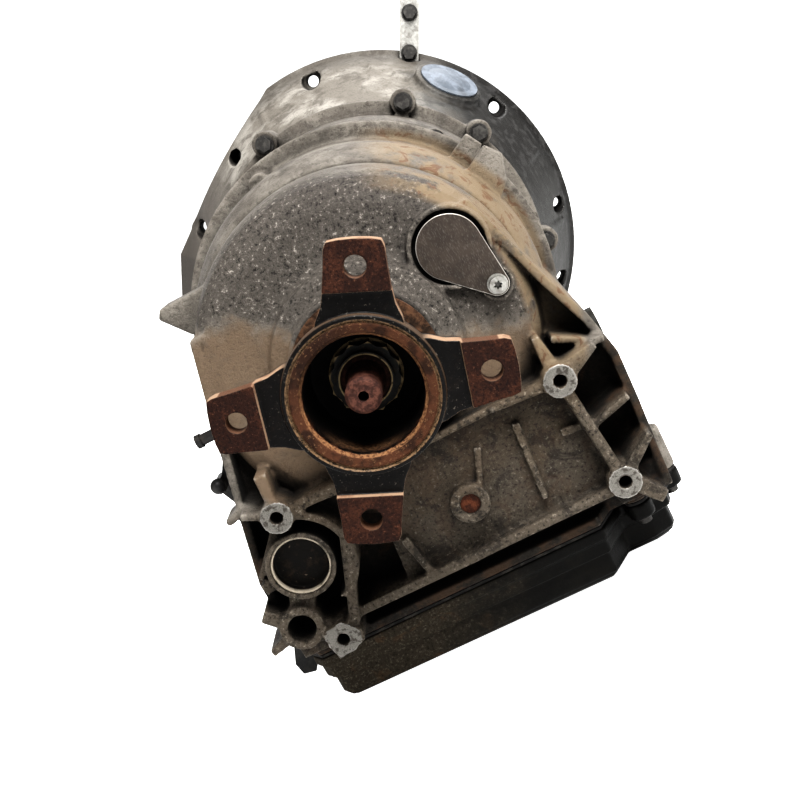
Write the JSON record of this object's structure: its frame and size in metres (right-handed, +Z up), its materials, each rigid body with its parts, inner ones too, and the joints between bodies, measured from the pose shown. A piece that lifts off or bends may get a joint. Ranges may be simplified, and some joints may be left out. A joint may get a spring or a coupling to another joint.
{
  "type": "automatic transmission",
  "caption": "Longitudinal automatic gearbox with bell housing, torque converter, planetary gear sets, four-arm output flange and oil pan.",
  "frame": {"origin": "centre of the bell housing's engine face, on the main axis", "axes": "+Y along the main axis towards the engine, +Z up with the oil pan below, +X to the right seen from the output flange"},
  "size_m": [0.441, 0.645, 0.4911],
  "materials": {
    "case_alloy": "as-cast, dusty and oil-stained",
    "bell_alloy": "as-cast, satin",
    "zinc_steel": "zinc plated",
    "bright_plug": "bright plated",
    "pan_plastic": "glass-filled nylon, dusty",
    "gasket_rubber": "matte",
    "rusty_steel": "black oxide with surface rust",
    "dark_steel": "black coated, worn",
    "cover_plate": "dull pressed steel",
    "nut_steel": "dull, oily",
    "shaft_steel": "ground",
    "gear_steel": "ground teeth",
    "drum_steel": "pressed steel",
    "converter_steel": "dark coated",
    "stator_alloy": "die cast"
  },
  "bodies": {
    "root": {"main_case": "case_alloy", "bell_housing": "bell_alloy", "bell_bolts": "zinc_steel", "dowel_sleeves": "bright_plug", "access_plug": "bright_plug", "lifting_bracket": "zinc_steel", "oil_pan": "pan_plastic", "pan_gasket": "gasket_rubber", "pan_bolts": "zinc_steel", "drain_plug": "zinc_steel", "core_plug": "rusty_steel", "centre_plug": "rusty_steel", "sensor_cover": "cover_plate", "sensor_cover_bolt": "zinc_steel", "output_seal": "gasket_rubber", "breather_stub": "dark_steel", "cable_bracket": "dark_steel", "connector_socket": "pan_plastic", "rear_bearing": "shaft_steel", "pump_housing": "case_alloy", "stator_support": "shaft_steel", "front_sun": "gear_steel", "valve_body": "bell_alloy", "solenoids": "pan_plastic", "oil_filter": "pan_plastic", "detent_spring": "dark_steel", "brake_plates": "drum_steel", "rear_carrier": "drum_steel"},
    "output": {"output_shaft": "shaft_steel", "output_flange": "rusty_steel", "flange_nut": "nut_steel", "dust_shield": "rusty_steel", "rear_ring": "gear_steel", "park_gear": "gear_steel"},
    "input": {"input_shaft": "shaft_steel", "front_ring": "gear_steel", "clutch_e": "drum_steel", "turbine": "converter_steel"},
    "front_carrier_body": {"front_carrier": "drum_steel", "small_sun": "gear_steel"},
    "large_sun_body": {"large_sun": "gear_steel"},
    "converter": {"converter_cover": "converter_steel", "impeller": "converter_steel", "pump_gear": "gear_steel"},
    "pump_ring": {"pump_ring_gear": "gear_steel"},
    "stator_wheel": {"stator": "stator_alloy"},
    "selector": {"selector_shaft": "dark_steel", "selector_lever": "dark_steel"},
    "pawl": {"park_pawl": "dark_steel"},
    "valve_spool": {"manual_valve": "shaft_steel"},
    "brake_piston": {"brake_d_piston": "shaft_steel"},
    "front_planet_a_body": {"front_planet_a": "gear_steel"},
    "short_planet_a_body": {"short_planet_a": "gear_steel"},
    "long_planet_a_body": {"long_planet_a": "gear_steel"},
    "front_planet_b_body": {"front_planet_b": "gear_steel"},
    "short_planet_b_body": {"short_planet_b": "gear_steel"},
    "long_planet_b_body": {"long_planet_b": "gear_steel"},
    "front_planet_c_body": {"front_planet_c": "gear_steel"},
    "short_planet_c_body": {"short_planet_c": "gear_steel"},
    "long_planet_c_body": {"long_planet_c": "gear_steel"}
  },
  "joints": [
    {"name": "input_spin", "type": "hinge", "parent": "root", "child": "input", "pos_m": [0, -0.2, 0], "axis": [0, 1, 0], "continuous": true},
    {"name": "front_carrier_spin", "type": "hinge", "parent": "root", "child": "front_carrier_body", "pos_m": [0, -0.26, 0], "axis": [0, 1, 0], "continuous": true},
    {"name": "output_spin", "type": "hinge", "parent": "root", "child": "output", "pos_m": [0, -0.5, 0], "axis": [0, 1, 0], "continuous": true},
    {"name": "large_sun_spin", "type": "hinge", "parent": "root", "child": "large_sun_body", "pos_m": [0, -0.36, 0], "axis": [0, 1, 0], "continuous": true},
    {"name": "converter_spin", "type": "hinge", "parent": "root", "child": "converter", "pos_m": [0, -0.1, 0], "axis": [0, 1, 0], "continuous": true},
    {"name": "pump_ring_spin", "type": "hinge", "parent": "root", "child": "pump_ring", "pos_m": [0, -0.19, -0.0144], "axis": [0, 1, 0], "continuous": true},
    {"name": "stator_spin", "type": "hinge", "parent": "root", "child": "stator_wheel", "pos_m": [0, -0.097, 0], "axis": [0, 1, 0], "continuous": true},
    {"name": "front_planet_a_spin", "type": "hinge", "parent": "front_carrier_body", "child": "front_planet_a_body", "pos_m": [0.0405, -0.257, 0], "axis": [0, 1, 0], "continuous": true},
    {"name": "short_planet_a_spin", "type": "hinge", "parent": "root", "child": "short_planet_a_body", "pos_m": [-0.03385, -0.437, 0.03814], "axis": [0, 1, 0], "continuous": true},
    {"name": "long_planet_a_spin", "type": "hinge", "parent": "root", "child": "long_planet_a_body", "pos_m": [0, -0.42, 0.063], "axis": [0, 1, 0], "continuous": true},
    {"name": "front_planet_b_spin", "type": "hinge", "parent": "front_carrier_body", "child": "front_planet_b_body", "pos_m": [-0.02025, -0.257, 0.03507], "axis": [0, 1, 0], "continuous": true},
    {"name": "short_planet_b_spin", "type": "hinge", "parent": "root", "child": "short_planet_b_body", "pos_m": [-0.01611, -0.437, -0.04839], "axis": [0, 1, 0], "continuous": true},
    {"name": "long_planet_b_spin", "type": "hinge", "parent": "root", "child": "long_planet_b_body", "pos_m": [-0.05456, -0.42, -0.0315], "axis": [0, 1, 0], "continuous": true},
    {"name": "front_planet_c_spin", "type": "hinge", "parent": "front_carrier_body", "child": "front_planet_c_body", "pos_m": [-0.02025, -0.257, -0.03507], "axis": [0, 1, 0], "continuous": true},
    {"name": "short_planet_c_spin", "type": "hinge", "parent": "root", "child": "short_planet_c_body", "pos_m": [0.04996, -0.437, 0.01025], "axis": [0, 1, 0], "continuous": true},
    {"name": "long_planet_c_spin", "type": "hinge", "parent": "root", "child": "long_planet_c_body", "pos_m": [0.05456, -0.42, -0.0315], "axis": [0, 1, 0], "continuous": true},
    {"name": "selector_turn", "type": "hinge", "parent": "root", "child": "selector", "pos_m": [-0.133, -0.43, -0.092], "axis": [1, 0, 0], "range_deg": [-24, 12]},
    {"name": "manual_valve_slide", "type": "slide", "parent": "root", "child": "valve_spool", "axis": [0, 1, 0], "range_m": [-0.018, 0.009]},
    {"name": "park_pawl_swing", "type": "hinge", "parent": "root", "child": "pawl", "pos_m": [0.068, -0.485, -0.06], "axis": [0, 1, 0], "range_deg": [-2, 4]},
    {"name": "brake_piston_slide", "type": "slide", "parent": "root", "child": "brake_piston", "axis": [0, 1, 0], "range_m": [0, 0.0018], "stiffness_N_per_m": 20000}
  ],
  "couplings": [
    {"joint": "front_carrier_spin", "follows": "input_spin", "ratio": 0.65741},
    {"joint": "output_spin", "follows": "input_spin", "ratio": 0.23976},
    {"joint": "large_sun_spin", "follows": "input_spin", "ratio": -0.49706},
    {"joint": "front_planet_a_spin", "follows": "input_spin", "ratio": 1.4308},
    {"joint": "short_planet_a_spin", "follows": "input_spin", "ratio": -1.019},
    {"joint": "long_planet_a_spin", "follows": "input_spin", "ratio": 0.92635},
    {"joint": "front_planet_b_spin", "follows": "input_spin", "ratio": 1.4308},
    {"joint": "short_planet_b_spin", "follows": "input_spin", "ratio": -1.019},
    {"joint": "long_planet_b_spin", "follows": "input_spin", "ratio": 0.92635},
    {"joint": "front_planet_c_spin", "follows": "input_spin", "ratio": 1.4308},
    {"joint": "short_planet_c_spin", "follows": "input_spin", "ratio": -1.019},
    {"joint": "long_planet_c_spin", "follows": "input_spin", "ratio": 0.92635},
    {"joint": "pump_ring_spin", "follows": "converter_spin", "ratio": 0.71875},
    {"joint": "manual_valve_slide", "follows": "selector_turn", "m_per_rad": 0.041},
    {"joint": "park_pawl_swing", "follows": "selector_turn", "ratio": -0.125}
  ]
}
